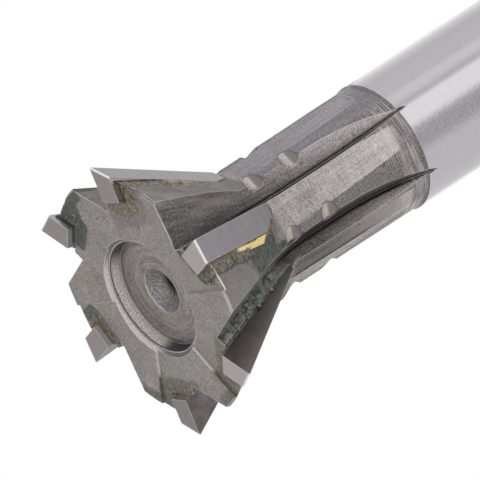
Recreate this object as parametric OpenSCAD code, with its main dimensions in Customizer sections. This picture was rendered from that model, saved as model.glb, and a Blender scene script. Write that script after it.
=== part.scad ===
// Dovetail cutter with brazed carbide tips on a straight shank.
// Millimetres, +Z up. The tool stands on the end of its shank with the cutting face upward.
// The origin is the middle of the shank end. Tooth 1 points along +X, the others follow
// every sixty degrees counter-clockwise, and each rake face looks counter-clockwise.

/* [Shank] */
// Diameter of the plain shank that goes into the collet
shank_d = 12; // [11.8:0.05:12.4]
// Length from the shank end to the plane of the carbide points
overall_length = 70; // [62:0.5:90]
// Break on the edge of the shank end
shank_chamfer = 1; // [0.4:0.1:1.6]

/* [Head] */
// Circle through the six carbide points
tip_circle_d = 25.6; // [25:0.1:26.5]
// Angle between the cutting flank and the face
dovetail_angle = 60; // [58:0.5:62]
// Length from the plane of the points to the foot of the steel cone
head_length = 11.8; // [11.4:0.1:12.2]
// Set-back of the steel face behind the plane of the points
face_setback = 0.56; // [0.4:0.02:0.8]
// Radial set-back of the steel flank behind the points, at the face
steel_setback = 1.41; // [1.2:0.01:1.7]
// Break on the outer edge of the steel face
face_break = 0.2; // [0.1:0.02:0.3]
// Fall of the ground face behind each tooth, degrees
face_relief = 3; // [2:0.25:4]
// Angle behind each tooth at which the ground face stops in a small step
face_step_angle = 24; // [22:0.5:26]

/* [Recess] */
// Mouth of the turned recess in the face
recess_d = 11.3; // [10.8:0.05:11.6]
// Depth of the recess below the steel face
recess_depth = 1.45; // [1.2:0.05:1.8]
// Mouth of the lathe centre in the recess floor
centre_d = 4.25; // [3.8:0.05:4.6]
// Pilot drilling of the lathe centre
pilot_d = 2; // [1.6:0.1:2.4]

/* [Neck] */
// Length from the plane of the points to the shoulder of the shank
neck_length = 27.5; // [26:0.25:29]
// Step from the shank down to the turned neck, on the radius
neck_step = 0.17; // [0.16:0.01:0.24]
// Depth of the flat ground on each land, at the head end
land_flat = 0.28; // [0.2:0.02:0.36]
// Slope of that flat, which makes it narrower towards the shoulder
land_tilt = 0.7; // [0.4:0.1:1]

/* [Flutes] */
// Radius of the flute root where it leaves the face
root_at_face = 8.2; // [8:0.05:8.5]
// Radius of the flute root along the neck
root_at_neck = 4.36; // [4.2:0.02:4.6]
// Distance of the root ahead of the plane through the tooth and the axis
root_ahead = 0.85; // [0.7:0.02:1]
// Fall of the root from the face to the neck, degrees
root_slope = 19.4; // [18.5:0.1:20.5]
// Lean of the rake wall from the radius
rake_lean = 16; // [13:0.5:19]
// Lean of the back wall from the radius
back_lean = 64; // [62:0.5:66]
// Radius of the wheel run-out into the shank
run_out_r = 34; // [30:1:40]

/* [Carbide tips] */
// Thickness of a tip
tip_thickness = 2.1; // [1.9:0.05:2.3]
// Length of the tip end face along the radius
tip_land = 3.35; // [3.2:0.05:3.5]
// Length of the tip along the tool
tip_height = 11.4; // [11:0.1:11.6]
// Lean of the tip's inner edge from the tool axis
tip_taper = 18.2; // [17.6:0.1:18.8]
// Lean of the rake face along the tool
axial_rake = 2.3; // [1.5:0.1:3]
// Clearance ground on the flank
flank_relief = 20; // [18:0.5:22]
// Break ground on the point
nose_break = 0.16; // [0.1:0.01:0.3]

/* [Braze] */
// Thickness of the braze layer under and behind a tip
braze_gap = 0.12; // [0.08:0.01:0.16]
// Height of the braze fillet above the steel
braze_proud = 0.14; // [0.08:0.01:0.2]
// Depth of the shallow pool of braze behind a tip
pool_depth = 0.32; // [0.2:0.02:0.4]
// Distance of the pool from the point, along the tool
pool_at = 6; // [5.5:0.1:6.5]

/* [Hidden] */
$fn = 96;
far = 40;
shank_r = shank_d / 2;
neck_r = shank_r - neck_step;
tip_r = tip_circle_d / 2;
tip_z = overall_length;
face_z = tip_z - face_setback;
face_r = tip_r - steel_setback;
flank_fall = tan(90 - dovetail_angle);
tip_end_r = tip_r - tip_height * flank_fall;
tip_root_r = tip_r - tip_land;
tip_root_fall = tan(tip_taper);
neck_top_z = tip_z - head_length;
flank_end = head_length + 1.2;
flat_top_z = tip_z - head_length - 0.2;
cone_lean = atan((face_r - neck_r) / (face_z - neck_top_z));
recess_r = recess_d / 2;
floor_z = face_z - recess_depth;
centre_r = centre_d / 2;
pilot_r = pilot_d / 2;
centre_deep = (centre_r - pilot_r) / tan(30);
flat_x = neck_r - land_flat;
flat_lean = -8.5;
flat_end_z = tip_z - neck_length + 1.6;
flat_half = sqrt(neck_r * neck_r - flat_x * flat_x);
nick_r = 1.05;
nick_lean = 22;
nick_angle = -27;
bend_r = 20;

// Root of a flute in the plane of height and radius: down the head, along the neck, out of the shank
slope_end = tip_z - face_setback - (root_at_face - root_at_neck - bend_r * (1 - cos(root_slope)))
            / tan(root_slope);
bend_end = slope_end - bend_r * sin(root_slope);
run_start = bend_end - 3.4;
run_angle = acos(1 - (shank_r + 0.6 - root_at_neck) / run_out_r);
root_path = concat(
    [[tip_z + 3, root_at_face + (3 + face_setback) * tan(root_slope)]],
    [for (i = [0 : 10]) [bend_end + bend_r * sin(root_slope * (1 - i / 10)),
                         root_at_neck + bend_r * (1 - cos(root_slope * (1 - i / 10)))]],
    [for (i = [0 : 10]) [run_start - run_out_r * sin(run_angle * i / 10),
                         root_at_neck + run_out_r * (1 - cos(run_angle * i / 10))]]
);
root_low_z = root_path[len(root_path) - 1][0];

// Places a shape at one of the six teeth
module at_tooth(n) {
    rotate([0, 0, 60 * (n - 1)]) children();
}

// Places a shape in the leaning frame of a tip: X outward, Y ahead, Z up from the point
module at_tip() {
    translate([tip_r, 0, tip_z]) rotate([axial_rake, 0, 0]) translate([-tip_r, 0, 0]) children();
}

// Turns an outline of radius and height to lie in the plane of a tooth and gives it a thickness
module upright(from, to) {
    translate([0, to, 0]) rotate([90, 0, 0]) linear_extrude(to - from) children();
}

// Everything beyond a line of the rake plane, with the clearance leaning back from it
module beyond(r, z, lean, clearance) {
    translate([r, 0, z]) rotate([0, lean, 0]) rotate([0, 0, -clearance])
        translate([0, -far / 2, -far / 2]) cube([far, far, far]);
}

// Outline of the carbide on its rake face
module tip_outline() {
    polygon([
        [tip_r + 1, 0],
        [tip_root_r, 0],
        [tip_root_r - tip_root_fall * tip_height, -tip_height],
        [tip_end_r + 1, -tip_height]
    ]);
}

// Outline of the seat, one braze layer larger than the carbide
module seat_outline(top, out) {
    polygon([
        [out, top],
        [tip_root_r - braze_gap + tip_root_fall * top, top],
        [tip_root_r - braze_gap - tip_root_fall * tip_height, -tip_height],
        [out, -tip_height]
    ]);
}

// Stock ground away along the flank of one tooth, down to the flat of the land and no deeper
module flank_stock() {
    intersection() {
        at_tip() intersection() {
            beyond(tip_r, 0, 90 - dovetail_angle, flank_relief);
            translate([0, -5, -flank_end]) cube([far, 8, flank_end + 2]);
        }
        rotate([0, 0, flat_lean]) translate([flat_x, -far / 2, 0]) cube([far, far, far * 3]);
    }
}

// One flute: the room above the root that both walls leave open
module flute() {
    intersection() {
        rotate([0, 0, back_lean])
            translate([-far / 2, 0, 0]) rotate([90, 0, 90]) linear_extrude(far)
                polygon(concat(
                    [for (p = root_path)
                        [root_ahead * cos(back_lean) - p[1] * sin(back_lean), p[0]]],
                    [[-far, root_low_z], [-far, tip_z + 3]]
                ));
        rotate([0, 0, -rake_lean])
            translate([-far / 2, 0, 0]) rotate([90, 0, 90]) linear_extrude(far)
                polygon(concat(
                    [for (p = root_path)
                        [root_ahead * cos(rake_lean) + p[1] * sin(rake_lean), p[0]]],
                    [[far, root_low_z], [far, tip_z + 3]]
                ));
    }
}

// Flat ground along a land, with the rounded run-out of the wheel
module land_flat_stock() {
    rotate([0, 0, flat_lean]) translate([flat_x, 0, flat_top_z]) rotate([0, -land_tilt, 0])
        translate([0, 0, -flat_top_z]) rotate([90, 0, 90]) linear_extrude(3)
        polygon(concat(
            [[flat_half + 2, flat_top_z], [flat_half + 2, flat_end_z]],
            [for (a = [0 : 15 : 90]) [-flat_half - 0.3 + 2.2 * (1 - sin(a)),
                                      flat_end_z + 2.2 * (1 - cos(a))]],
            [[-flat_half - 0.3, flat_top_z]]
        ));
}

// Half-round nick on the trailing edge of a land
module nick(depth) {
    rotate([0, 0, nick_angle]) translate([neck_r + nick_r - 0.22, 0, tip_z - depth])
        rotate([0, 0, -nick_lean]) rotate([90, 0, 0]) cylinder(r = nick_r, h = 3, center = true);
}

// Face ground down behind a tooth, ending in a small radial step
module face_stock() {
    intersection() {
        translate([0, root_ahead, face_z]) rotate([face_relief, 0, 0])
            translate([-1, -far, 0]) cube([far, far, 4]);
        translate([0, 0, face_z - 3]) linear_extrude(8)
            polygon([[0, 0], [far * cos(face_step_angle), -far * sin(face_step_angle)],
                     [far, 4], [0, 4]]);
    }
}

// Shallow hollow in the back wall of a seat, which the braze fills
module pool() {
    pool_r = 7;
    intersection() {
        at_tip() translate([0, pool_r - tip_thickness - braze_gap - pool_depth, -pool_at])
            rotate([0, 90, 0]) cylinder(r = pool_r, h = far);
        at_tip() upright(-tip_thickness - 1, -tip_thickness - braze_gap / 2)
            translate([0.3, 0]) seat_outline(3, far);
    }
}

// Seat of one tip, open forward and outward
module seat() {
    at_tip() upright(-tip_thickness - braze_gap, 2.2) seat_outline(3, far);
    pool();
}

// Turned blank: shank, neck, head, recess and lathe centre
module blank() {
    rotate_extrude() polygon([
        [0, 0],
        [shank_r - shank_chamfer, 0],
        [shank_r, shank_chamfer],
        [shank_r, tip_z - neck_length],
        [neck_r, tip_z - neck_length],
        [neck_r, neck_top_z],
        [face_r - face_break * tan(cone_lean), face_z - face_break],
        [face_r - face_break * 1.2, face_z],
        [recess_r, face_z],
        [recess_r - 0.3, face_z - 0.38],
        [recess_r - 0.38, face_z - 0.38],
        [recess_r - 0.38, face_z - 0.5],
        [recess_r - 0.34, face_z - 0.55],
        [recess_r - 0.56, floor_z],
        [centre_r, floor_z],
        [pilot_r, floor_z - centre_deep],
        [pilot_r, floor_z - centre_deep - 2.6],
        [0, floor_z - centre_deep - 3.2]
    ]);
}

module cutter_body() {
    color([0.62, 0.61, 0.6])
    difference() {
        blank();
        for (n = [1 : 6]) at_tooth(n) {
            flute();
            land_flat_stock();
            nick(12.5);
            nick(16.7);
            face_stock();
            flank_stock();
            seat();
        }
    }
}

module carbide_tip(n) {
    color([0.45, 0.43, 0.44])
    at_tooth(n) difference() {
        at_tip() upright(-tip_thickness, 0) tip_outline();
        flank_stock();
        at_tip() beyond(tip_r - nose_break, 0, -dovetail_angle / 2, flank_relief);
    }
}

module braze_seam(n) {
    color([0.8, 0.65, 0.3])
    at_tooth(n) intersection() {
        difference() {
            union() {
                at_tip() upright(-tip_thickness - braze_gap, 0.1) seat_outline(1, tip_r + 2);
                pool();
            }
            at_tip() upright(-tip_thickness, 1) tip_outline();
            flank_stock();
        }
        rotate_extrude() polygon([
            [0, neck_top_z - 2],
            [neck_r + braze_proud, neck_top_z - 2],
            [neck_r + braze_proud, neck_top_z],
            [face_r + braze_proud, face_z],
            [face_r + braze_proud, face_z + 0.1],
            [0, face_z + 0.1]
        ]);
    }
}

cutter_body();
carbide_tip(1);  // carbide_tip_1
carbide_tip(2);  // carbide_tip_2
carbide_tip(3);  // carbide_tip_3
carbide_tip(4);  // carbide_tip_4
carbide_tip(5);  // carbide_tip_5
carbide_tip(6);  // carbide_tip_6
braze_seam(1);  // braze_seam_1
braze_seam(2);  // braze_seam_2
braze_seam(3);  // braze_seam_3
braze_seam(4);  // braze_seam_4
braze_seam(5);  // braze_seam_5
braze_seam(6);  // braze_seam_6
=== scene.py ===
# %% [markdown]
# A dovetail cutter, dressed for its picture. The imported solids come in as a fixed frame, and this
# script gives them their finishes: a ground shank, a turned neck, milled flutes, ground carbide and
# the stains that brazing leaves. Sizes in the notes are millimetres, and Blender itself works in metres.

# %% Load the frame and keep its box
import math
import random
import bmesh
import bpy
from mathutils import Matrix, Vector, noise
from mathutils.bvhtree import BVHTree


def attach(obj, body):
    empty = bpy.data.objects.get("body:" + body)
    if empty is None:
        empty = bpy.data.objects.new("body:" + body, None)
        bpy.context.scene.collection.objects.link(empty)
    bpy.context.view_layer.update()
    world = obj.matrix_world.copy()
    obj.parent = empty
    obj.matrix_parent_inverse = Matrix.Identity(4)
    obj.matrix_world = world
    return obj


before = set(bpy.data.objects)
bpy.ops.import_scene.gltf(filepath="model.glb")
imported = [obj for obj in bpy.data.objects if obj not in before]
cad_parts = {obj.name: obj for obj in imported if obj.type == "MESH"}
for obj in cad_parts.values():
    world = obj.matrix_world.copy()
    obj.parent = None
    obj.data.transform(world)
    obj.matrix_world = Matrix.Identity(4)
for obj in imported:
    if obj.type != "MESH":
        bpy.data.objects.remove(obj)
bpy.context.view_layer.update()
print("solids:", sorted(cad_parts))

# %% [markdown]
# The camera. The six carbide points and the shank's edges fix where the camera stood: far away with a
# long lens, 30 degrees above the plane of the cutting face, with the tool leaning across the picture.
# A camera could be aimed with a constraint, but the roll matters here, so its three axes are written
# down as a matrix instead.

# %% Camera
mm = 0.001
right = Vector((-0.36211631, -0.58743622, -0.7237337))
up = Vector((0.88078375, 0.03850678, -0.47195044))
back = Vector((0.30510943, -0.80835383, 0.50346034))
picture_width = 480
picture_middle = picture_width / 2
centre_x, centre_y = 144.58, 301.91
pixels_per_mm = 11.93
sensor = 36
distance = 1.7
points_height = 70
points_centre = Vector((0, 0, points_height * mm))
aim = points_centre + right * ((picture_middle - centre_x) / pixels_per_mm * mm)
aim = aim + up * ((centre_y - picture_middle) / pixels_per_mm * mm)
camera = bpy.data.objects.new("photo_camera", bpy.data.cameras.new("photo_camera"))
bpy.context.scene.collection.objects.link(camera)
camera.data.sensor_width = sensor
camera.data.lens = sensor * distance / (picture_width / pixels_per_mm * mm)
camera.data.clip_start, camera.data.clip_end = 0.1, 20
axes = Matrix((right, up, back)).transposed().to_4x4()
camera.matrix_world = Matrix.Translation(aim + back * distance) @ axes
bpy.context.scene.camera = camera
bpy.context.scene.view_settings.view_transform = "Standard"
print("lens", round(camera.data.lens), "mm at", distance, "m")

# %% [markdown]
# Nodes and sums. A procedural material is a graph of small nodes, and it could be wired by hand in the
# shader editor. Written as functions, the same graph reads like a sum: each function adds one node to
# the tree that is being drawn, links what it is given and hands back the node's output.

# %% Helpers: nodes and sums
drawing = {"tree": None}


def feed(socket, value):
    if isinstance(value, bpy.types.NodeSocket):
        drawing["tree"].links.new(value, socket)
    elif value is not None:
        socket.default_value = value


def node(kind, inputs=(), out=0, **settings):
    made = drawing["tree"].nodes.new("ShaderNode" + kind)
    for name, value in settings.items():
        setattr(made, name, value)
    pairs = inputs.items() if isinstance(inputs, dict) else enumerate(inputs)
    for key, value in pairs:
        feed(made.inputs[key], value)
    return made.outputs[out]


def maths(operation, *values):
    return node("Math", values, operation=operation)


def add(first, second):
    return maths("ADD", first, second)


def minus(first, second):
    return maths("SUBTRACT", first, second)


def times(first, second):
    return maths("MULTIPLY", first, second)


def apart(first, second):
    return maths("ABSOLUTE", minus(first, second))


def join(x, y, z):
    return node("CombineXYZ", (x, y, z))


def parts_of(vector):
    return [node("SeparateXYZ", (vector,), out=axis) for axis in range(3)]


print("helpers for sums ready")

# %% [markdown]
# Masks and tones. A finish on this tool is a choice between two surfaces, made by a mask that is 0 in
# one place and 1 in the other. Masks could be painted as images, but a soft step on a measured value
# stays sharp at any distance. A step names two values: where the mask is still 0 and where it is full.
# Tones are written as levels of 255, the way a picture editor shows them.

# %% Helpers: masks and tones
def step(value, low, high, first=0.0, last=1.0):
    return node("MapRange", (value, low, high, first, last), interpolation_type="SMOOTHSTEP")


def both(*masks):
    out = masks[0]
    for mask in masks[1:]:
        out = times(out, mask)
    return out


def most(*masks):
    out = masks[0]
    for mask in masks[1:]:
        out = maths("MAXIMUM", out, mask)
    return out


def no(mask):
    return minus(1.0, mask)


def blend(share, first, last):
    return node("Mix", {0: share, 2: first, 3: last}, data_type="FLOAT")


def mix(share, first, last):
    return node("Mix", {0: share, 6: first, 7: last}, out=2, data_type="RGBA")


def tone(red, green, blue):
    return tuple(pow(level / 255, 2.2) for level in (red, green, blue)) + (1.0,)


def between(share, dark, light):
    return mix(share, tone(*dark), tone(*light))


def noise_at(spot, scale, detail=3.0, rough=0.55):
    return node("TexNoise", {"Vector": spot, "Scale": scale, "Detail": detail, "Roughness": rough})


print("helpers for masks ready, middle grey is", round(tone(128, 128, 128)[0], 3))

# %% [markdown]
# Groups and materials. What several finishes share goes into a node group, which is drawn once and then
# used by name, like a function. These three helpers start a group, use one, and start a material. Each
# start makes its own tree the one that the other helpers draw in.

# %% Helpers: groups and materials
def group(name, takes, gives):
    tree = bpy.data.node_groups.new(name, "ShaderNodeTree")
    drawing["tree"] = tree
    for label, kind, start in takes:
        socket = tree.interface.new_socket(label, in_out="INPUT", socket_type="NodeSocket" + kind)
        if start is not None:
            socket.default_value = start
    for label, kind in gives:
        tree.interface.new_socket(label, in_out="OUTPUT", socket_type="NodeSocket" + kind)
    return tree.nodes.new("NodeGroupInput").outputs, tree.nodes.new("NodeGroupOutput").inputs


def use_group(name, inputs=()):
    made = drawing["tree"].nodes.new("ShaderNodeGroup")
    made.node_tree = bpy.data.node_groups[name]
    for key, value in dict(inputs).items():
        feed(made.inputs[key], value)
    return made.outputs


def material(name):
    made = bpy.data.materials.new(name)
    made.use_nodes = True
    drawing["tree"] = made.node_tree
    return made, made.node_tree.nodes["Principled BSDF"].inputs


print("helpers for groups ready")

# %% [markdown]
# Where on the tool. Every finish on this cutter depends on the radius, on the depth below the points
# and on the angle within one tooth, because the six teeth are made alike. A mask could be painted, but
# working it out from Object coordinates keeps it sharp at any distance and the same on all teeth. Out
# and Behind measure from a tip: how far from the axis a spot lies, and how far behind the tip's back.

# %% Group: where on the tool
degrees = 180 / math.pi
tooth_pitch = 60
tooth_from, tooth_to = -36.0, 24.0
tip_back = -2.3
labels = ("Radius", "Angle", "Depth", "Tooth", "Outward", "Forward", "Upward", "Turn", "Out", "Behind")
sockets = [(label, "Float") for label in labels] + [("Place", "Vector")]
_, gives = group("where on the tool", [], sockets)
place = node("VectorMath", {0: node("TexCoord", out=3), "Scale": 1 / mm}, operation="SCALE")
x, y, z = parts_of(place)
radius = maths("SQRT", add(times(x, x), times(y, y)))
turn = times(maths("ARCTAN2", y, x), degrees)
angle = maths("WRAP", turn, tooth_to, tooth_from)
normal_x, normal_y, normal_z = parts_of(node("NewGeometry", out=1))
in_radians = times(angle, 1 / degrees)
measures = {
    "Radius": radius,
    "Angle": angle,
    "Depth": minus(float(points_height), z),
    "Tooth": maths("ROUND", times(minus(turn, angle), 1 / tooth_pitch)),
    "Outward": maths("DIVIDE", add(times(normal_x, x), times(normal_y, y)), radius),
    "Forward": maths("DIVIDE", minus(times(normal_y, x), times(normal_x, y)), radius),
    "Upward": normal_z,
    "Place": place,
    "Turn": turn,
    "Out": times(radius, maths("COSINE", in_radians)),
    "Behind": minus(tip_back, times(radius, maths("SINE", in_radians)))}
for label, value in measures.items():
    feed(gives[label], value)
print("measures:", sorted(measures))

# %% [markdown]
# Which tooth. Tooth 1 lies along +X and the others follow counter-clockwise. The group counts turns of
# 60 degrees from tooth 1 and gets a negative count past half a circle, so tooth 4 is 3 or -3, tooth 5 is
# -2 and tooth 6 is -1. One mask for each tooth lets a stain differ from tooth to tooth as on the real
# tool, without six materials.

# %% Helper: a mask for each tooth
def tooth_masks(count):
    turns = {1: 0.0, 2: 1.0, 3: 2.0, 5: -2.0, 6: -1.0}
    masks = {number: maths("COMPARE", count, turns[number], 0.4) for number in turns}
    masks[4] = maths("COMPARE", maths("ABSOLUTE", count), 3.0, 0.4)
    return masks


print("teeth:", 360 // tooth_pitch)

# %% [markdown]
# Tool lines. Turning, milling and grinding all leave lines that run one way: around the axis, along it
# or across a tip. One group draws them as noise that is squeezed in the direction across the lines, and
# each finish passes in the place along and across its own lines.

# %% Group: tool lines
takes, gives = group(
    "tool lines",
    [("Along", "Float", 0.0), ("Across", "Float", 0.0), ("Pitch", "Float", 8.0)],
    [("Lines", "Float")])
spot = join(times(takes["Along"], 0.35), times(takes["Across"], takes["Pitch"]), 0.0)
fine = noise_at(spot, 1.0, 4.0, 0.7)
coarse = noise_at(spot, 0.31, 2.0, 0.5)
feed(gives["Lines"], step(add(times(fine, 0.6), times(coarse, 0.4)), 0.28, 0.72))


def lines(along, across, pitch):
    return use_group("tool lines", {"Along": along, "Across": across, "Pitch": pitch})["Lines"]


print("tool lines:", len(drawing["tree"].nodes), "nodes")

# %% [markdown]
# Brazing stains. The torch and the flux leave a green oxide film, brown crust close to the tip and small
# bumps of glassy flux. The group takes how close a spot is to a joint, and noise breaks its edge up so
# that no stain ends in a clean line.

# %% Group: brazing stains
takes, gives = group(
    "brazing stains",
    [("Place", "Vector", None), ("Film", "Float", 0.0), ("Crust", "Float", 0.0), ("Browned", "Float", 0.0)],
    [("Film", "Float"), ("Film colour", "Color"), ("Crust", "Float"), ("Crust colour", "Color"),
     ("Height", "Float")])
broken = noise_at(takes["Place"], 0.6, 5.0, 0.6)
grain = noise_at(takes["Place"], 3.0, 6.0, 0.7)
ragged = add(times(minus(broken, 0.5), 1.5), times(minus(grain, 0.5), 0.5))
feed(gives["Film"], step(add(takes["Film"], ragged), 0.3, 0.75))
feed(gives["Crust"], step(add(takes["Crust"], ragged), 0.4, 0.8))
green = between(step(grain, 0.34, 0.66), (44, 52, 49), (88, 95, 88))
olive = between(step(grain, 0.34, 0.66), (72, 68, 57), (128, 121, 106))
feed(gives["Film colour"], mix(takes["Browned"], green, olive))
brown = between(step(grain, 0.36, 0.56), (64, 58, 50), (122, 114, 100))
feed(gives["Crust colour"], mix(step(grain, 0.56, 0.7), brown, tone(172, 163, 142)))
feed(gives["Height"], grain)
print("brazing stains:", len(drawing["tree"].nodes), "nodes")

# %% [markdown]
# The steel body. It is one bar, but each machine left its own finish on it, so the material picks one
# finish for each region: shank, turned neck, ground lands, milled flutes, cutting face and recess.
# Separate materials would need the mesh to be split, and masks keep the solid whole. First comes what
# all of them are drawn with: a fine speck, soft clouds and lines in four directions.

# %% Tool steel: grain and lines
steel, skin = material("tool_steel")
at = use_group("where on the tool")
radius, angle, depth, place, turn = (at[label] for label in ("Radius", "Angle", "Depth", "Place", "Turn"))
outward, forward, upward = (at[label] for label in ("Outward", "Forward", "Upward"))
out, behind = at["Out"], at["Behind"]
tooth_is = tooth_masks(at["Tooth"])
around = times(turn, 0.105)
speck = step(noise_at(place, 6.5, 4.0, 0.65), 0.3, 0.7)
cloud = noise_at(place, 0.5, 3.0, 0.5)
rings = lines(around, depth, 9.0)
lengthwise = lines(depth, around, 6.0)
crossed = lines(times(around, 3.0), depth, 7.0)
circles = lines(around, radius, 6.0)


def spread(*parts):
    total = 0.5
    for value, amount in parts:
        total = add(total, times(minus(value, 0.5), amount))
    return total


def toward(direction):
    return maths("COSINE", times(minus(turn, direction), 1 / degrees))


print("tool steel:", len(steel.node_tree.nodes), "nodes")

# %% [markdown]
# Shank, neck and lands. The shank was ground on centres and is pale and even, with one darker speckled
# strip along it. The neck was turned, so rings run around it and grow stronger towards the shoulder. The
# lands were ground flat, and both fine lines and specks show on them. Each tone is a mix of a dark and a
# light one, because a single flat tone would look like paint.

# %% Tool steel: tones of the shank, neck and lands
shank = between(spread((rings, 0.4), (speck, 0.25)), (178, 174, 180), (191, 187, 192))
# a darker speckled strip along one side of the shank; only its tone changes
darker_strip = step(toward(-80.0), 0.965, 0.99)
shank = mix(both(darker_strip, step(speck, 0.35, 0.65), 0.5), shank, tone(150, 146, 151))
ring_pitch = 0.26
ring_wave = maths("SINE", times(add(depth, times(cloud, 0.05)), 2 * math.pi / ring_pitch))
streaks = noise_at(join(0.0, times(around, 0.25), times(depth, 5.0)), 1.0, 2.0, 0.6)
ringed = times(step(depth, 16.5, 22.0), add(times(ring_wave, 0.2), times(minus(streaks, 0.5), 0.3)))
neck = between(add(spread((speck, 0.9)), ringed), (84, 80, 80), (156, 150, 150))
near_grain = spread((speck, 0.6), (crossed, 0.3), (lengthwise, 0.35), (cloud, 0.6))
far_grain = spread((speck, 0.5), (crossed, 0.3), (lengthwise, 0.35))
land = between(near_grain, (94, 90, 90), (200, 194, 192))
far_land = between(far_grain, (150, 144, 142), (242, 235, 233))
land = mix(step(depth, 12.0, 26.0, 0.0, 0.7), land, far_land)
print("tool steel:", len(steel.node_tree.nodes), "nodes")

# %% [markdown]
# Flutes, face and recess. A milling cutter left lines along the flutes, and a turning tool left circles
# in the recess. The face is matt and blotched, and the wall of the recess is painted bright as a highlight
# where the light meets it. These could be one steel with different bumps, but their tones differ more than
# their relief, so each gets a tone of its own.

# %% Tool steel: tones of the flutes, face and recess
flute = between(spread((lengthwise, 0.9), (speck, 0.9)), (82, 78, 77), (152, 146, 144))
flute_end = between(speck, (160, 154, 152), (240, 232, 229))
flute = mix(step(depth, 10.0, 22.0, 0.0, 0.7), flute, flute_end)
rake_wall = between(spread((lengthwise, 0.9), (speck, 0.7)), (74, 70, 69), (112, 107, 105))
flank = between(spread((speck, 0.9), (cloud, 0.9)), (108, 104, 101), (154, 148, 145))
face = between(spread((speck, 0.9), (cloud, 0.5)), (110, 106, 103), (170, 164, 161))
blotched = step(noise_at(place, 0.32, 4.0, 0.6), 0.5, 0.72, 0.0, 0.5)
face = mix(blotched, face, between(speck, (108, 101, 93), (140, 131, 121)))
floor_tone = between(spread((circles, 0.8), (speck, 0.8)), (98, 94, 92), (174, 168, 164))
wall_grain = noise_at(join(times(around, 3.0), 0.0, times(depth, 6.0)), 1.6, 3.0, 0.7)
# painted highlight: the bright tone of the recess wall
wall_tone = between(step(wall_grain, 0.32, 0.64), (188, 181, 179), (255, 250, 248))
print("tool steel:", len(steel.node_tree.nodes), "nodes")

# %% [markdown]
# Where each surface lies. The sizes of the solids are known, so a region can be told by its radius,
# its depth and the way it faces: the face looks up, a rake wall looks forward, the back wall of a flute
# looks the other way. Picking faces of the mesh would work too, but a mask needs no edit of the solid.

# %% Tool steel: regions
recess_radius, hole_radius, flat_radius = 5.66, 2.3, 5.812
recess_depth, hole_depth, head_depth, shank_depth = 2.3, 9.0, 11.6, 27.44
in_hole = step(depth, hole_depth + 0.5, hole_depth)
on_face = both(step(upward, 0.8, 0.95), step(depth, 1.2, 1.0))
face_edge = both(step(upward, 0.3, 0.45), step(upward, 0.85, 0.7), step(depth, 1.0, 0.9),
                 step(radius, 8.0, 8.5))
in_recess = most(both(step(radius, recess_radius + 0.06, recess_radius),
                      step(depth, recess_depth + 0.2, recess_depth)),
                 both(step(radius, hole_radius + 0.1, hole_radius), in_hole))
on_floor = both(in_recess, step(upward, 0.75, 0.9))
in_centre = both(step(radius, 2.2, 2.1), step(depth, 2.0, 2.1), in_hole)
on_shank = most(both(step(depth, shank_depth, shank_depth + 0.08), step(outward, 0.97, 0.99)),
                step(depth, 60.0, 61.0))
on_rake = step(forward, 0.6, 0.75)
on_back = step(forward, -0.28, -0.36)
on_head = step(depth, head_depth + 0.4, head_depth)
on_neck = both(step(depth, 11.2, 12.6), no(on_shank))
on_flat = both(step(outward, 0.9, 0.97), step(radius, flat_radius + 0.014, flat_radius))
print("tool steel:", len(steel.node_tree.nodes), "nodes")

# %% [markdown]
# Laying the tones down. Each mix puts one surface over what is already there, so the order matters, as
# with layers in a picture editor. The two small nicks on each land were touched by a round wheel; their pale
# tone is partly their own and partly a painted sheen, the part that faces up is painted darker as shade, and
# they are told by their depth along the neck.

# %% Tool steel: first coat
colour = mix(on_flat, neck, land)
for region, surface in ((on_head, flank), (on_back, flute), (on_rake, rake_wall), (on_shank, shank),
                        (on_face, face)):
    colour = mix(region, colour, surface)
nick_depths = (12.5, 16.7)
at_nicks = most(*(step(apart(depth, nick_depth), 1.2, 1.06) for nick_depth in nick_depths))
nick_zone = both(at_nicks, step(angle, -20.0, -22.0), step(radius, 5.2, 5.4))
on_nick = both(at_nicks, step(angle, -22.0, -23.0), step(radius, 5.82, 5.78),
               step(forward, -0.5, -0.44), step(forward, 0.12, 0.02))
# the nick's own pale tone with a painted sheen, and painted shade where it faces up
nick_tone_and_sheen = between(speck, (172, 164, 161), (212, 204, 201))
colour = mix(on_nick, colour, mix(step(upward, 0.0, 0.3), nick_tone_and_sheen, tone(134, 128, 126)))
print("tool steel:", len(steel.node_tree.nodes), "nodes")

# %% [markdown]
# The recess and the lathe centre. The recess wall is painted bright on the side that faces the light and
# dark as shade at one end, and it is grooved along its middle where the tool stopped. The cone of the lathe
# centre is painted dark deeper down, as shadow. Light alone could do this, but such a narrow wall is seen at
# a low angle, so its tones are placed by the way round the axis.

# %% Tool steel: recess and lathe centre
lit_side = step(toward(112.0), 0.3, 0.75)
# painted shade: the recess wall on the side away from the light, with turned rings
shaded_wall = between(step(maths("SINE", times(depth, 24.0)), -0.2, 0.8), (88, 84, 88), (132, 127, 130))
wall_tone = mix(lit_side, shaded_wall, wall_tone)
# painted shade at one end of the recess wall
dark_end = step(toward(188.0), 0.82, 0.96, 0.0, 0.9)
wall_tone = mix(dark_end, wall_tone, between(speck, (52, 49, 55), (104, 99, 106)))
wall_tone = mix(both(step(depth, 0.96, 0.88), 0.45), wall_tone, tone(150, 144, 142))
groove = both(step(depth, 0.86, 0.94), step(depth, 1.1, 1.02))
wall_tone = mix(groove, wall_tone, tone(70, 66, 66))
colour = mix(in_recess, colour, wall_tone)
colour = mix(on_floor, colour, floor_tone)
hole_grain = between(spread((speck, 0.9), (cloud, 0.6)), (100, 96, 97), (200, 194, 193))
# painted shadow deep in the lathe centre
in_shadow = step(add(depth, times(cloud, 0.3)), 3.3, 4.0)
colour = mix(in_centre, colour, mix(in_shadow, hole_grain, tone(30, 28, 29)))
print("tool steel:", len(steel.node_tree.nodes), "nodes")
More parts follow.
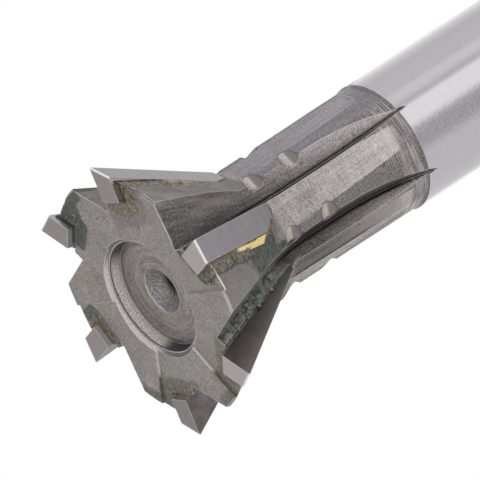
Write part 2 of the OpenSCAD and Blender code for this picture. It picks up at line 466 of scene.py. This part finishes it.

# %% [markdown]
# Steps in the face. Behind each tooth the face drops by a hair where the wheel stopped. Near the
# middle the step is painted as a pale highlight at teeth 4 and 5 and as a dark line of shade elsewhere,
# because they face the light differently, and further out it is painted partly pale at the other teeth. The
# solid has the step itself, and only its tone is set here. Small dark pits go on as well.

# %% Tool steel: steps and pits in the face
white = tone(255, 252, 249)
# painted highlight and painted shade on the steps in the face
on_step = both(step(forward, 0.9, 0.97), step(depth, 1.4, 1.3), step(angle, -19.0, -21.0))
lit_step = most(tooth_is[4], tooth_is[5])
outer_step = mix(minus(0.6, times(lit_step, 0.6)), face, white)
inner_step = mix(lit_step, tone(58, 54, 52), white)
colour = mix(on_step, colour, mix(step(radius, 8.7, 7.9), outer_step, inner_step))
step_zone = both(step(apart(angle, -24.0), 2.4, 1.8), step(depth, 1.3, 1.1), step(radius, 7.6, 8.6))
pits = both(step(noise_at(place, 1.9, 2.0, 0.5), 0.69, 0.74), most(on_face, on_floor))
colour = mix(times(pits, 0.6), colour, tone(62, 58, 56))
print("tool steel:", len(steel.node_tree.nodes), "nodes")

# %% [markdown]
# Flutes along the neck. Their bottoms are painted dark as shade, the far flute has a violet tint and the
# back walls that look down are painted dark as shade. The bottom of a flute is a line that bends out towards
# the head and runs out at the shoulder, so its radius is worked out from the depth by a curve close to the
# solid's.
# Shade painted by hand would have to be done six times.

# %% Tool steel: flutes along the neck
far_flute = both(on_neck, most(times(tooth_is[1], step(angle, 3.0, 4.5)),
                               times(tooth_is[2], step(angle, -24.0, -26.0))))
violet = between(spread((speck, 0.9), (lengthwise, 0.6)), (112, 108, 113), (160, 155, 161))
colour = mix(times(far_flute, 0.9), colour, violet)
colour = mix(both(on_neck, tooth_is[1], no(on_back), no(on_nick), 0.75), colour, violet)
flute_bottom, bend_radius, run_out_radius = 4.44, 20.0, 34.0
bend = most(minus(14.88, depth), 0.0)
rise = most(minus(depth, 18.28), 0.0)
curved = add(times(times(bend, bend), 0.5 / bend_radius), times(times(rise, rise), 0.5 / run_out_radius))
above_bottom = minus(radius, add(flute_bottom, curved))
# painted shade along the bottoms of the flutes
root_shade = both(step(above_bottom, 0.26, 0.07), step(depth, 7.0, 10.0), most(on_back, on_rake), no(far_flute))
colour = mix(times(root_shade, 0.85), colour, tone(26, 24, 25))
# painted shade on the back walls that look down
shaded_back_wall = both(on_neck, on_back, no(on_nick), most(times(tooth_is[6], step(angle, -18.0, -20.0)),
                                                    times(tooth_is[5], step(angle, 6.0, 8.0))))
colour = mix(times(shaded_back_wall, 0.8), colour, between(lengthwise, (40, 36, 34), (84, 78, 74)))
print("tool steel:", len(steel.node_tree.nodes), "nodes")

# %% [markdown]
# The lowest land and the shoulder. The land at tooth 5 was ground narrower, so a dark line parts a pale
# strip from a darker one; the line and the darker strip are painted shade along an edge that the solid does
# not have. At the shoulder the turning tool left bright streaks. The line could be cut into the solid, but
# all lands share one shape there, so it is a mask on that tooth alone.

# %% Tool steel: lowest land and shoulder
near_wall = both(on_neck, tooth_is[5], on_rake, step(above_bottom, 0.2, 0.42))
warm = between(spread((speck, 0.9), (lengthwise, 0.8)), (64, 60, 58), (140, 134, 131))
warm = mix(step(depth, 15.0, 24.0), warm, between(speck, (132, 126, 123), (196, 189, 186)))
colour = mix(near_wall, colour, warm)
low_land = both(on_neck, tooth_is[5], on_flat)
# painted shade: the darker strip of the lowest land
shaded_strip = mix(0.25, warm, tone(60, 56, 54))
pale_strip = between(spread((speck, 0.9), (lengthwise, 0.6)), (128, 122, 119), (196, 189, 186))
low_tone = mix(step(angle, -13.5, -15.5), shaded_strip, pale_strip)
colour = mix(times(low_land, step(depth, 26.5, 23.0, 0.3, 0.95)), colour, low_tone)
# painted shade: a dark line for the edge of the lowest land
line_angle = minus(-13.0, times(cloud, 2.0))
edge_shade_line = both(low_land, step(apart(angle, line_angle), 1.9, 0.9), step(depth, 23.5, 19.0))
colour = mix(times(edge_shade_line, 0.85), colour, tone(44, 40, 39))
shoulder = both(step(depth, 23.5, 26.0), on_neck, no(on_back), no(tooth_is[1]))
bright_streaks = both(shoulder, step(add(streaks, times(cloud, 0.4)), 0.62, 0.85), 0.55)
colour = mix(bright_streaks, colour, tone(206, 198, 196))
print("tool steel:", len(steel.node_tree.nodes), "nodes")

# %% [markdown]
# How far from a joint. Stains start at the joint between tip and steel and fade with distance, so the
# distance is what to measure: inwards from the tip's root, sideways from its back and down from its far
# end. A number for each tooth, in the order 1 to 6, makes the stains as uneven as the torch left them.

# %% Tool steel: distance from the joints
def by_tooth(*amounts):
    total = 0.0
    for number, amount in enumerate(amounts, 1):
        total = add(total, times(tooth_is[number], amount))
    return total


tip_root, root_slope, tip_end = 9.4, 0.329, 9.7
inner_gap = most(minus(minus(tip_root, times(depth, root_slope)), out), 0.0)
back_gap = most(behind, 0.0)
end_gap = most(minus(depth, tip_end), 0.0)


def gap(*narrowing):
    inward = times(inner_gap, by_tooth(*narrowing))
    sideways = add(times(inward, inward), times(back_gap, back_gap))
    return maths("SQRT", add(sideways, times(end_gap, end_gap)))


film_gap = gap(1.0, 1.9, 1.8, 1.2, 1.3, 1.0)
crust_gap = gap(1.0, 1.0, 1.0, 1.0, 1.0, 2.0)
film_width = by_tooth(3.4, 3.4, 2.2, 2.3, 2.2, 1.3)
crust_width = by_tooth(2.0, 0.25, 1.1, 1.0, 0.8, 1.25)
print("tool steel:", len(steel.node_tree.nodes), "nodes")

# %% [markdown]
# Where film and crust lie. The green film spreads beside the tip, along the rim of the head, low on the
# flank and under the tip, and the crust stays close to the joint. Four masks are joined by taking the
# greatest of them, which keeps each stain whole where two of them meet.

# %% Tool steel: where film and crust lie
ahead = by_tooth(2.2, 1.5, 2.2, 3.5, 3.0, 2.6)
beside = step(add(behind, ahead), -1.3, 0.0)
head_only = both(step(depth, 12.6, 11.0), no(in_recess))
outside = step(add(radius, times(depth, 0.495)), 10.7, 11.1)
near_film = both(beside, step(maths("DIVIDE", film_gap, film_width), 1.0, 0.5))
rim_share = by_tooth(0.3, 1.0, 0.15, 1.0, 0.9, 0.0)
at_rim = both(step(behind, -0.4, 0.4), step(radius, 9.4, 10.8), step(depth, 5.0, 3.0), rim_share)
low_share = by_tooth(0.4, 0.9, 0.9, 0.9, 0.9, 0.95)
low_flank = both(outside, low_share, step(behind, 0.2, 1.0), step(depth, 3.5, 7.5), step(depth, 13.0, 11.8),
                 no(on_back))
under_tip = both(step(behind, -1.0, -2.4), step(behind, -4.2, -3.4), step(depth, 1.0, 4.0),
                 step(out, 5.5, 6.5))
film_near = times(most(near_film, at_rim, low_flank, times(under_tip, 0.5)), head_only)
crust_end = by_tooth(10.2, 7.8, 7.8, 7.8, 7.8, 7.8)
crust_near = both(beside, step(maths("DIVIDE", crust_gap, crust_width), 1.0, 0.25),
                  step(minus(depth, crust_end), 0.0, -2.2), head_only)
print("tool steel:", len(steel.node_tree.nodes), "nodes")

# %% [markdown]
# Staining the steel. The shared group turns closeness into ragged film and crust, more olive at some
# teeth and greener at others. At tooth 6 a little brass ran out of the joint and the wheel ground it
# bright, so a narrow strip beside the seam is gold and stays free of stain.

# %% Tool steel: film, crust and spilt brass
browned = times(by_tooth(1.2, 0.0, 0.4, 0.8, 1.8, 0.1), step(inner_gap, 0.0, 0.7, 0.45, 1.0))
stain = use_group("brazing stains", {"Place": place, "Film": film_near, "Crust": crust_near,
                                     "Browned": browned})
film_share = by_tooth(0.42, 0.88, 0.85, 0.75, 0.7, 0.93)
gilded = both(tooth_is[6], outside, step(behind, 0.2, 0.14), step(behind, -0.6, -0.4),
              step(depth, 6.5, 6.8), step(add(depth, times(behind, 1.5)), 9.1, 8.9))
film = both(stain["Film"], step(film_near, 0.02, 0.2), film_share, no(gilded))
crust = both(stain["Crust"], step(crust_near, 0.02, 0.2), 0.9, no(gilded))
gold_tones = ((224, 190, 118), (255, 234, 172))
colour = mix(film, colour, stain["Film colour"])
colour = mix(crust, colour, stain["Crust colour"])
colour = mix(gilded, colour, between(speck, *gold_tones))
print("tool steel:", len(steel.node_tree.nodes), "nodes")

# %% [markdown]
# Rim highlights and the fluxed ledge. Where the face meets the flank a thin pale line is painted as a
# highlight on the wheel-ground edge, strongest at tooth 6 and hidden wherever crust covers it. On the ledge
# under each tip the flux set in green lumps. Marks this fine are easier to place as tones than as faces of
# the solid.

# %% Tool steel: rim highlights and fluxed ledge
# painted highlight along the rim where the face meets the flank
rim_highlight_tone = tone(226, 221, 219)
rim_highlight = by_tooth(0.1, 0.3, 0.2, 0.2, 0.5, 0.95)
uncrusted = no(times(crust, 0.9))
clean_rim = times(uncrusted, step(angle, -24.4, -23.8, 0.4, 1.0))
colour = mix(both(face_edge, rim_highlight, clean_rim), colour, rim_highlight_tone)
fluxed = both(on_rake, step(depth, 11.5, 9.5), step(depth, 0.6, 0.9), no(on_step), no(in_recess))
lumps = noise_at(place, 1.6, 4.0, 0.6)
flux_tone = between(step(lumps, 0.35, 0.65), (68, 76, 74), (132, 134, 126))
colour = mix(times(fluxed, 0.9), colour, flux_tone)
face_slope = 0.0524
face_depth = add(0.56, times(add(3.15, behind), face_slope))
rim_line = both(step(minus(depth, face_depth), 0.24, 0.16), no(on_face), step(radius, 8.4, 8.8),
                step(upward, 0.8, 0.7), step(outward, 0.5, 0.6), step(angle, -24.4, -23.8), rim_highlight,
                uncrusted)
colour = mix(rim_line, colour, rim_highlight_tone)
print("tool steel:", len(steel.node_tree.nodes), "nodes")

# %% [markdown]
# Edge highlights and corner shade. No real edge is perfectly sharp, and a rounded one catches light, so a
# pale line along the edges is painted as a highlight, and a dark one round the nicks as shade. The Bevel
# node bends the normal near an edge, and comparing it with the true normal tells where edges are. Ambient
# Occlusion tells where corners are, and shade is painted darker there. Modelled bevels would need the solid
# changed.

# %% Tool steel: edge highlights and corner shade
def bend_of(soft_normal):
    return node("VectorMath", (soft_normal, node("NewGeometry", out=1)), out=1, operation="DOT_PRODUCT")


rounded = node("Bevel", {"Radius": 0.12 * mm}, samples=6)
bent = bend_of(rounded)
# painted highlight on edges, and painted shade on the edges of the nicks
edge_highlight_and_shade = most(step(bent, 0.985, 0.93), both(on_neck, no(tooth_is[5]), step(bent, 0.998, 0.98)))
flute_sides = most(times(tooth_is[1], step(angle, -25.0, -28.0)), times(tooth_is[6], step(angle, 8.0, 12.0)))
flute_edge = both(flute_sides, step(depth, 2.2, 1.6), step(radius, 6.4, 6.8))
edge_share = most(step(depth, 1.3, 1.0, 0.5, 0.62), both(rim_highlight, clean_rim, step(depth, 1.3, 1.0)),
                  flute_edge)
colour = mix(both(edge_highlight_and_shade, no(nick_zone), edge_share, no(step_zone)), colour, tone(220, 215, 213))
colour = mix(both(edge_highlight_and_shade, nick_zone, 0.7), colour, tone(54, 50, 49))
# painted shade in corners, found by Ambient Occlusion
corner = node("AmbientOcclusion", {"Distance": 1.6 * mm}, out=1, samples=6)
corner_shade = both(step(corner, 0.8, 0.3), no(on_shank), no(on_step), no(step_zone), no(near_wall), no(far_flute),
             no(times(on_back, 0.75)), no(times(fluxed, 0.9)), step(depth, 1.5, 2.0, 0.2, 1.0),
             step(depth, 26.0, 24.5, 0.1, 1.0), 0.8)
colour = mix(corner_shade, colour, tone(44, 41, 40))
print("tool steel:", len(steel.node_tree.nodes), "nodes")

# %% [markdown]
# Roughness, metal and relief. The shank is the smoothest part, stains are rough and hardly metallic, and
# flux stands up in lumps. Fine relief goes through one Bump node, which only bends the light. Displacing
# the mesh would change the solid and cost many faces for heights of a few hundredths.

# %% Tool steel: roughness, metal and relief
rough = blend(on_shank, add(0.40, times(speck, 0.2)), add(0.13, times(rings, 0.05)))
rough = blend(most(film, fluxed), rough, 0.7)
metal = blend(most(times(film, 0.8), crust, times(fluxed, 0.8)), 1.0, 0.1)
ridges = both(ringed, no(on_shank), no(on_face))
height = add(times(speck, blend(on_shank, 0.8, 0.03)), times(ridges, 0.5))
height = add(height, times(crust, times(stain["Height"], 4.0)))
height = add(height, times(fluxed, times(lumps, 9.0)))
relief = node("Bump", {"Strength": 0.4, "Distance": 0.06 * mm, "Height": height, "Normal": rounded})
for label, value in (("Base Color", colour), ("Roughness", rough), ("Metallic", metal), ("Normal", relief)):
    feed(skin[label], value)
print("tool steel finished:", len(steel.node_tree.nodes), "nodes")

# %% [markdown]
# Carbide. The tips are ground with a diamond wheel, so they are a darker, even grey with fine lines
# across them. The end, the flank and the rake face were ground one after another and differ in tone,
# and so do single tips. One material with masks by the way a face looks covers all six.

# %% Carbide: tones
carbide, skin = material("carbide")
at = use_group("where on the tool")
place, upward = at["Place"], at["Upward"]
tooth_is = tooth_masks(at["Tooth"])
speck = noise_at(place, 4.5, 4.0, 0.6)
mottle = noise_at(place, 0.9, 4.0, 0.6)
across = lines(times(at["Turn"], 0.18), at["Depth"], 4.0)
ground = between(add(times(across, 0.5), times(speck, 0.5)), (130, 126, 131), (156, 151, 156))
end = between(speck, (128, 122, 120), (150, 144, 142))
end = mix(times(tooth_is[4], 0.5), end, tone(114, 109, 106))
end = mix(times(most(tooth_is[5], tooth_is[6]), 0.5), end, tone(184, 178, 176))
rake_grain = step(add(times(mottle, 0.7), times(speck, 0.3)), 0.35, 0.65)
rake = between(rake_grain, (94, 88, 89), (122, 116, 116))
rake = mix(times(tooth_is[5], 0.5), rake, tone(138, 131, 131))
on_rake = step(at["Forward"], 0.6, 0.75)
colour = mix(step(upward, 0.8, 0.9), ground, end)
colour = mix(on_rake, colour, rake)
print("carbide:", len(carbide.node_tree.nodes), "nodes")

# %% [markdown]
# The bright nose. The wheel broke the corner at the nose of each tip, and that narrow facet shines. A
# wide Bevel node spreads a painted highlight from it a little over the faces beside it, most at tooth 6, and
# a narrow one paints a fine highlight line on the other edges. The facet is in the solid, and only its glint
# is painted here.

# %% Carbide: nose and edges
wide_x, wide_y, wide_z = parts_of(node("Bevel", {"Radius": 0.32 * mm}, samples=8))
place_x, place_y, _ = parts_of(place)
wide_out = maths("DIVIDE", add(times(wide_x, place_x), times(wide_y, place_y)), at["Radius"])
# painted highlight on the nose facet and the faces beside it
on_nose = both(step(upward, 0.2, 0.35), step(upward, 0.8, 0.7), step(at["Outward"], 0.2, 0.4))
beside_nose = both(step(wide_z, -0.25, 0.0), step(wide_z, 0.99, 0.96), step(wide_out, 0.1, 0.2),
                   no(on_rake))
nose_share = add(0.3, times(tooth_is[6], 0.6))
colour = mix(most(on_nose, times(beside_nose, nose_share)), colour, tone(236, 232, 230))
# painted highlight: a fine pale line on the other edges of the tips
rounded = node("Bevel", {"Radius": 0.07 * mm}, samples=6)
colour = mix(times(step(bend_of(rounded), 0.99, 0.93), 0.7), colour, tone(228, 224, 222))
relief = node("Bump", {"Strength": 0.2, "Distance": 0.03 * mm, "Height": across, "Normal": rounded})
rough = add(0.34, times(speck, 0.14))
for label, value in (("Base Color", colour), ("Roughness", rough), ("Metallic", 1.0), ("Normal", relief)):
    feed(skin[label], value)
print("carbide finished:", len(carbide.node_tree.nodes), "nodes")

# %% [markdown]
# Braze. Where the grinding wheel reached it, the brass is bright gold, and elsewhere flux has crusted
# it brown or green. A mask says where the wheel could reach and noise breaks it up, so the gold shows as
# a patch here and a line there.

# %% Braze
braze, skin = material("braze")
at = use_group("where on the tool")
place, depth, behind = at["Place"], at["Depth"], at["Behind"]
tooth_is = tooth_masks(at["Tooth"])
speck = noise_at(place, 2.6, 4.0, 0.6)
gold = between(speck, *gold_tones)
crust = between(step(speck, 0.3, 0.7), (60, 53, 44), (126, 114, 90))
crust = mix(times(tooth_is[2], 0.75), crust, tone(58, 65, 59))
glassy = between(step(speck, 0.3, 0.7), (78, 86, 83), (128, 130, 120))
crust = mix(step(behind, -1.7, -2.1), crust, glassy)
wheel = both(step(depth, 4.6, 5.3), step(depth, 9.6, 9.2), step(behind, -0.4, -0.2),
             no(times(tooth_is[1], 0.75)))
covered = no(times(wheel, step(noise_at(place, 1.5, 3.0, 0.5), 0.26, 0.34)))
feed(skin["Base Color"], mix(covered, gold, crust))
feed(skin["Roughness"], blend(covered, 0.32, 0.7))
feed(skin["Metallic"], blend(covered, 1.0, 0.3))
feed(skin["Normal"], node("Bump", {"Strength": 0.4, "Distance": 0.05 * mm, "Height": speck}))
print("braze:", len(braze.node_tree.nodes), "nodes")

# %% [markdown]
# The look of flux. Flux sets to a hard glassy crust, brown beside the joint and green on the ledge under
# the tip. It could borrow the steel's material, but it is no metal and its relief is coarser, so it gets
# a small one of its own that takes its tones from the same group of stains.

# %% Flux: its finish
flux, skin = material("flux")
at = use_group("where on the tool")
stain = use_group("brazing stains", {"Place": at["Place"], "Film": 0.5, "Crust": 0.5})
wavy = times(minus(noise_at(at["Place"], 0.9), 0.5), 2.0)
on_ledge = step(add(at["Behind"], wavy), -1.6, -2.4)
glassy = between(step(stain["Height"], 0.36, 0.62), (70, 79, 76), (134, 137, 128))
feed(skin["Base Color"], mix(on_ledge, stain["Crust colour"], glassy))
feed(skin["Roughness"], add(0.45, times(stain["Height"], 0.4)))
feed(skin["Normal"], node("Bump", {"Strength": 0.5, "Distance": 0.05 * mm, "Height": stain["Height"]}))
print("flux:", len(flux.node_tree.nodes), "nodes")

# %% [markdown]
# One bead of flux. Brazing leaves small hard beads beside each joint. They could be bumps in the
# material, but beads that stand up catch light at the edge of the tooth. So each is a small sphere that
# noise makes uneven, flattened and set on the steel where a ray meets it.

# %% Flux: one bead
steel_skin = BVHTree.FromObject(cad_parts["cutter_body"], bpy.context.evaluated_depsgraph_get())


def bead(mesh, start, way, width, low, dice):
    hit, normal, _, _ = steel_skin.ray_cast(start * mm, way)
    if hit is None:
        return
    made = bmesh.ops.create_icosphere(mesh, subdivisions=2, radius=0.5)["verts"]
    for vertex in made:
        vertex.co *= 1 + 0.5 * noise.noise(vertex.co * 2.2 + hit * 4000)
    lie = normal.to_track_quat("Z", "Y").to_matrix().to_4x4()
    long_side = width * dice.uniform(0.8, 1.5)
    short_side = width * dice.uniform(0.7, 1.1)
    size = Matrix.Diagonal((long_side * mm, short_side * mm, low * mm, 1))
    bmesh.ops.transform(mesh, matrix=Matrix.Translation(hit) @ lie @ size, verts=made)


face_hit = steel_skin.ray_cast(Vector((0.007, 0, 1)), Vector((0, 0, -1)))[0]
print("a ray from above meets the face at", face_hit)

# %% [markdown]
# Beads around one tooth. Three places hold flux: the flank behind the tip, the face beside its seat and
# the ledge under it. Each place gets rays from its own side, from above or from in front. Squared random
# numbers crowd the beads towards the joint, because that is where flux is laid on.

# %% Flux: beads around a tooth
def beads_around(mesh, dice, spin, on_flank, on_end, on_ledge):
    inward, down, backward = spin @ Vector((-1, 0, 0)), Vector((0, 0, -1)), spin @ Vector((0, -1, 0))
    for _ in range(on_flank):
        below = dice.uniform(0.9, 7.2)
        start = Vector((20, -2.42 - dice.random() ** 2 * 1.1, points_height - below))
        bead(mesh, spin @ start, inward, dice.uniform(0.12, 0.34), dice.uniform(0.08, 0.2), dice)
    for _ in range(on_end):
        start = Vector((dice.uniform(8.9, 11.0), -2.45 - dice.random() ** 2 * 1.0, points_height + 10))
        bead(mesh, spin @ start, down, dice.uniform(0.14, 0.4), dice.uniform(0.06, 0.14), dice)
    for _ in range(on_ledge):
        below = dice.uniform(0.8, 9.5)
        start = Vector((9.38 - root_slope * below - dice.random() ** 2 * 0.9, 1.5, points_height - below))
        bead(mesh, spin @ start, backward, dice.uniform(0.3, 0.75), dice.uniform(0.12, 0.3), dice)


print("three places for beads on each tooth")

# %% [markdown]
# Beads on all teeth. Each tooth gets a count for its flank, its face and its ledge, and a seed of its
# own so that the same beads come out each time. All beads of a tooth are one mesh, which rides on the
# body because flux never moves on the steel.

# %% Flux: beads on all teeth
beads_on = {1: (24, 16, 12), 2: (8, 6, 12), 3: (10, 14, 12), 4: (8, 14, 20), 5: (9, 8, 34), 6: (22, 18, 12)}
faces_of_bead = 80
for number, counts in beads_on.items():
    spin = Matrix.Rotation(math.radians(tooth_pitch * (number - 1)), 3, "Z")
    mesh = bmesh.new()
    beads_around(mesh, random.Random(40 + number), spin, *counts)
    bmesh.ops.recalc_face_normals(mesh, faces=mesh.faces)
    name = "flux_crust_%d" % number
    data = bpy.data.meshes.new(name)
    mesh.to_mesh(data)
    mesh.free()
    data.polygons.foreach_set("use_smooth", [True] * len(data.polygons))
    data.materials.append(flux)
    piece = bpy.data.objects.new(name, data)
    bpy.context.scene.collection.objects.link(piece)
    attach(piece, "root")
    print(name, "has", len(data.polygons) // faces_of_bead, "beads")

# %% [markdown]
# Finishes on the solids. The solids came in with plain materials, and the name of each starts with the
# kind of piece it is. Swapping the material in the slot leaves mesh and object as they are, which the
# shared frame depends on.

# %% Put the finishes on the solids
finishes = {"cutter_body": steel, "carbide_tip": carbide, "braze_seam": braze}
for name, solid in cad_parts.items():
    finish = next(finishes[start] for start in finishes if name.startswith(start))
    for slot in solid.material_slots:
        slot.material = finish
    print(name, "gets", finish.name)

# %% [markdown]
# The studio. Metal shows what stands around it, so the light is a pale room written into the world: an
# almost white base with soft panels, some brighter and some dimmer than it. Lamps could be used, but a
# round shank would show each as a hard spot. A panel is a soft step on how far a direction turns away
# from the panel's middle.

# %% World: a pale room and its panels
world = bpy.data.worlds.new("studio")
bpy.context.scene.world = world
world.use_nodes = True
drawing["tree"] = world.node_tree
shade = world.node_tree.nodes["Background"].inputs
direction = node("TexCoord", out=0)


def panel(way, inner, outer, strength):
    facing = node("VectorMath", (direction, Vector(way).normalized()), out=1, operation="DOT_PRODUCT")
    return step(facing, math.cos(math.radians(outer)), math.cos(math.radians(inner)), 0.0, strength)


low_flat, low_drop = 0.864, -0.503
low_panels = ((308, 11, 19, 0.5), (269, 7, 17, -0.22), (348, 4, 10, 0.2), (335, 2, 7, -0.12),
              (60, 10, 36, -0.06), (98, 10, 45, 0.3))
light = 0.95
for azimuth, inner, outer, strength in low_panels:
    flat_way = math.radians(azimuth)
    way = (low_flat * math.cos(flat_way), low_flat * math.sin(flat_way), low_drop)
    light = add(light, panel(way, inner, outer, strength))
print("low panels:", len(low_panels))

# %% [markdown]
# Panels at eye level. Seen from the side, the shank reflects the room near the horizon, where the low
# panels don't reach. A few strips there give it light and dark bands from every side. They fade out
# lower down, where the picture's own reflections come from. The camera itself sees plain white.

# %% World: strips at eye level
slope = parts_of(direction)[2]
eye_level = both(step(slope, -0.41, -0.31), step(slope, 0.2, 0.0))
eye_panels = ((10, 9, 20, 0.4), (52, 8, 20, -0.16), (128, 9, 22, 0.35), (172, 8, 20, -0.18),
              (214, 8, 18, 0.3))
for azimuth, inner, outer, strength in eye_panels:
    flat_way = math.radians(azimuth)
    way = (math.cos(flat_way), math.sin(flat_way), -0.2)
    light = add(light, times(eye_level, panel(way, inner, outer, strength)))
camera_sees = node("LightPath", out=0)
feed(shade["Strength"], blend(camera_sees, light, 1.0))
shade["Color"].default_value = (1, 1, 1, 1)
print("strips at eye level:", len(eye_panels))

# %% [markdown]
# The floor. The tool stands on a matt white sheet. Close to the tool it is paper, and further out it
# glows as white as the background, so no edge shows between the two. A larger plane under a lamp could do
# the same, but its far side would turn grey. The sheet is kept out of the tool's reflections.

# %% Floor
floor_mesh = bpy.data.meshes.new("floor")
sheet = bmesh.new()
bmesh.ops.create_circle(sheet, cap_ends=True, segments=96, radius=0.9)
sheet.to_mesh(floor_mesh)
sheet.free()
floor = bpy.data.objects.new("floor", floor_mesh)
bpy.context.scene.collection.objects.link(floor)
floor.visible_glossy = floor.visible_diffuse = floor.visible_shadow = False
paper, skin = material("white_paper")
skin["Base Color"].default_value = (0.9, 0.9, 0.9, 1)
skin["Roughness"].default_value = 0.9
reach = node("VectorMath", (node("TexCoord", out=3),), out=1, operation="LENGTH")
glow = node("Emission", {"Color": (1, 1, 1, 1), "Strength": 1.0})
paper_out = next(made for made in paper.node_tree.nodes if made.type == "OUTPUT_MATERIAL")
matt = paper.node_tree.nodes["Principled BSDF"].outputs[0]
paper_from, paper_to = 12 * mm, 30 * mm
far_out = step(reach, paper_from, paper_to)
feed(paper_out.inputs["Surface"], node("MixShader", {0: far_out, 1: matt, 2: glow}))
floor_mesh.materials.append(paper)
print("floor is", floor.dimensions.x, "m wide")
